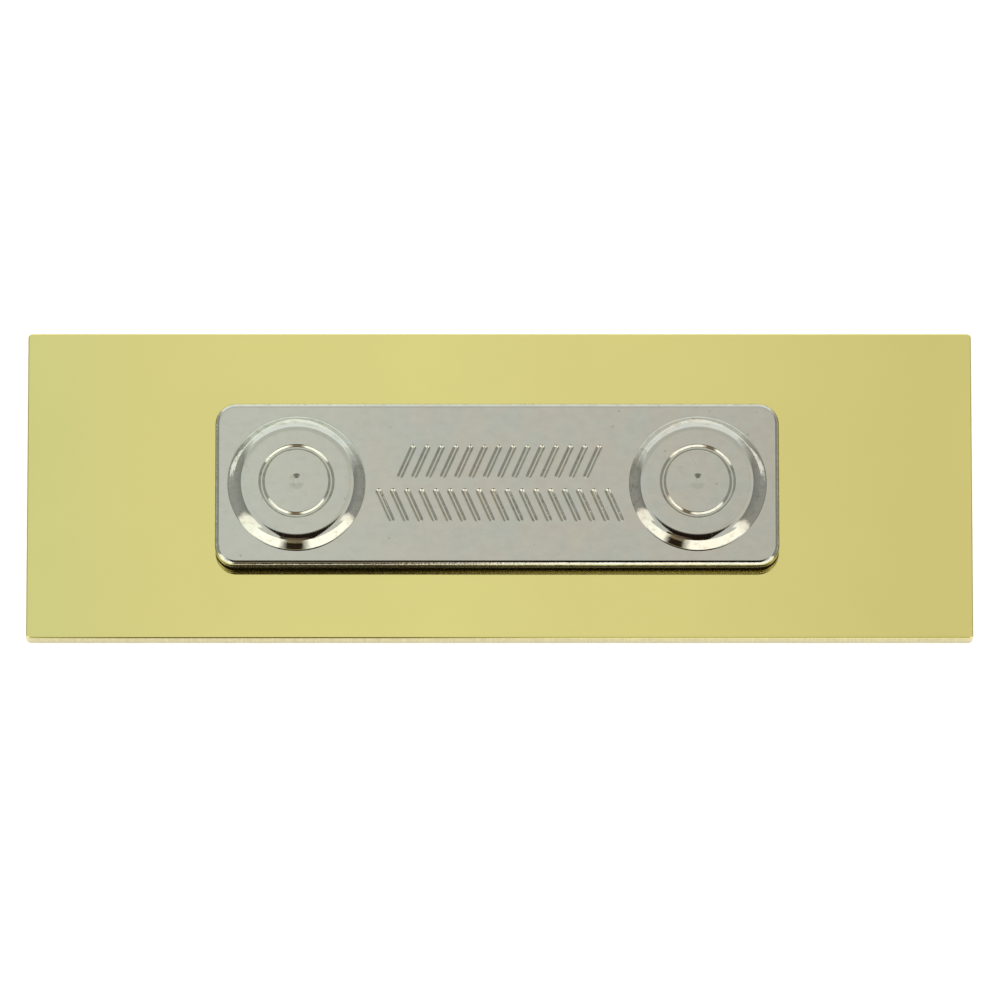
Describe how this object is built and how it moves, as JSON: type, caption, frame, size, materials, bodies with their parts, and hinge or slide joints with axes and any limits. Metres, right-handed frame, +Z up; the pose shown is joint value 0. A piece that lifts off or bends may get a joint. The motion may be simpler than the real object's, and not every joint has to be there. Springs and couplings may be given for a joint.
{
  "type": "magnetic name badge",
  "caption": "Rectangular polished brass name plate, lying face down, with a magnetic fastener: a steel strip on a pad, and a pressed cover whose round bosses hold disc magnets.",
  "frame": {"origin": "middle of the plate's name side, which lies on the ground", "axes": "+X along the badge, +Y across it, +Z up through the plate to the magnetic fastener on its back"},
  "size_m": [0.076, 0.0252, 0.0044],
  "materials": {
    "polished_brass": "mirror polished",
    "adhesive_foam": "matte foam",
    "plated_strip": "satin nickel plate",
    "plated_cover": "bright nickel plate with light handling marks",
    "magnet_plating": "bright nickel plate"
  },
  "bodies": {
    "badge": {"name_plate": "polished_brass", "adhesive_pad": "adhesive_foam", "steel_strip": "plated_strip"},
    "magnet_bar": {"magnet_cover": "plated_cover", "magnet_disc_left": "magnet_plating", "magnet_disc_right": "magnet_plating"}
  },
  "joints": [
    {"name": "magnet_bar_pull", "type": "slide", "parent": "badge", "child": "magnet_bar", "axis": [0, 0, 1], "range_m": [0, 0.02]}
  ]
}
